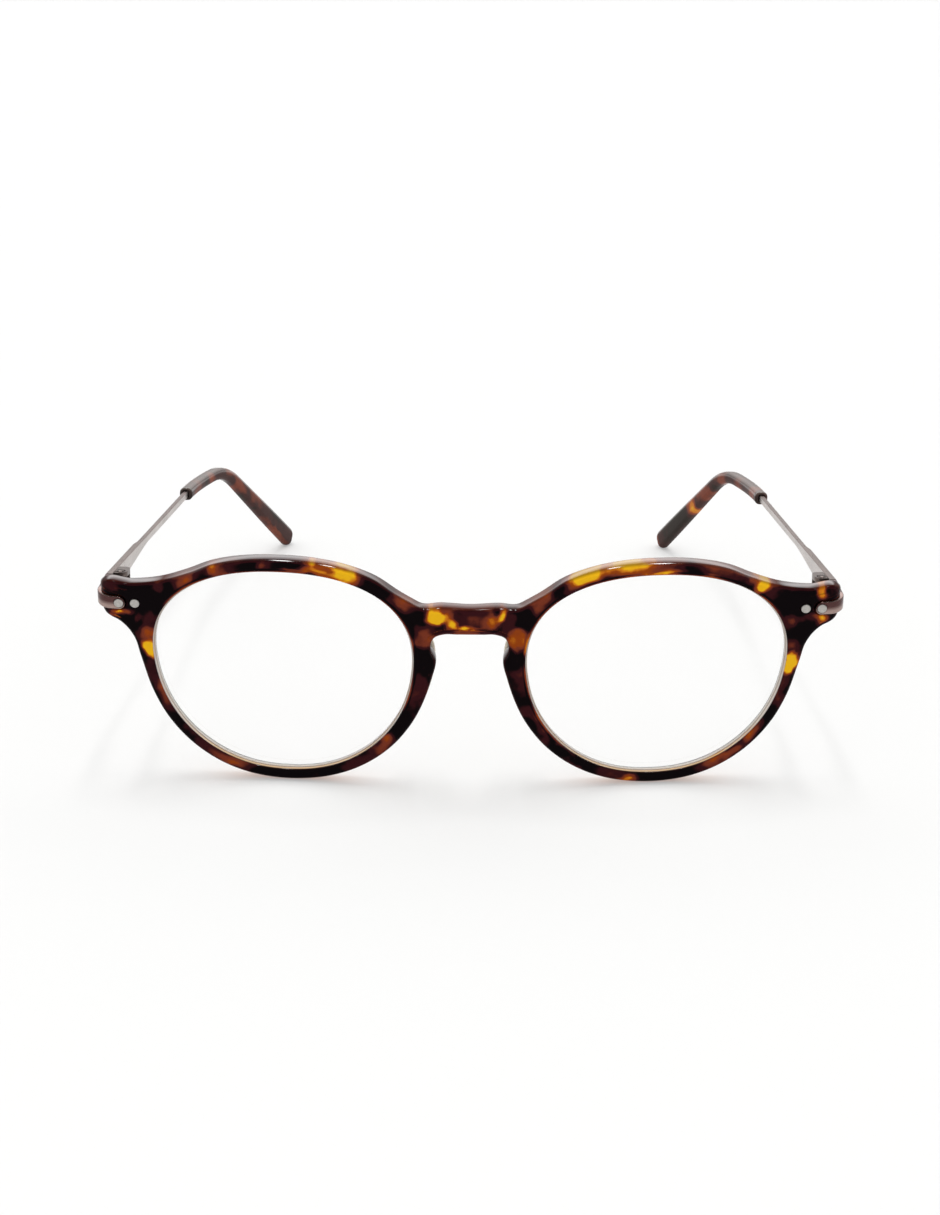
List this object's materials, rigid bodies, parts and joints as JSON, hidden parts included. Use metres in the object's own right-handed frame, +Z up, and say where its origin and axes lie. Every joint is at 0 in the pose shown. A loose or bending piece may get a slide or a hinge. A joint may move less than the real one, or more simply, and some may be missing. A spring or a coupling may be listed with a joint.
{
  "type": "reading glasses",
  "caption": "Round keyhole-bridge reading glasses with a tortoise acetate front and tips, clear lenses and slim metal temples that fold on screwed hinges.",
  "frame": {"origin": "on the surface that the open glasses stand on, under the middle of their length and width", "axes": "+Z up, +Y from the front back to the temple tips, +X to the wearer's left"},
  "size_m": [0.137, 0.1472, 0.0462],
  "materials": {
    "front_acetate": "polished dark tortoise acetate, near black with red-brown, amber and yellow patches",
    "tip_acetate": "polished dark tortoise acetate",
    "clear_lens": "clear, colourless, polished",
    "pad_plastic": "pale cream, translucent, soft sheen",
    "temple_metal": "satin gunmetal with a bronze cast",
    "strip_metal": "satin bronze-brown metal",
    "hinge_metal": "satin metal",
    "rivet_metal": "pale matt silver",
    "screw_metal": "fine turned steel"
  },
  "bodies": {
    "front": {"front_frame": "front_acetate", "left_lens": "clear_lens", "right_lens": "clear_lens", "left_nose_pad": "pad_plastic", "right_nose_pad": "pad_plastic", "left_end_strip": "strip_metal", "right_end_strip": "strip_metal", "left_outer_rivet": "rivet_metal", "right_outer_rivet": "rivet_metal", "left_inner_rivet": "rivet_metal", "right_inner_rivet": "rivet_metal", "left_hinge_bracket": "hinge_metal", "right_hinge_bracket": "hinge_metal"},
    "left_side": {"left_temple": "temple_metal", "left_temple_tip": "tip_acetate", "left_hinge_fork": "hinge_metal", "left_hinge_screw": "screw_metal"},
    "right_side": {"right_temple": "temple_metal", "right_temple_tip": "tip_acetate", "right_hinge_fork": "hinge_metal", "right_hinge_screw": "screw_metal"}
  },
  "joints": [
    {"name": "left_temple_fold", "type": "hinge", "parent": "front", "child": "left_side", "pos_m": [0.06605, -0.05627, 0.03621], "axis": [-0.0039, 0.0791, 0.9969], "range_deg": [0, 84]},
    {"name": "right_temple_fold", "type": "hinge", "parent": "front", "child": "right_side", "pos_m": [-0.06605, -0.05627, 0.03621], "axis": [-0.0039, -0.0791, -0.9969], "range_deg": [0, 79]}
  ]
}
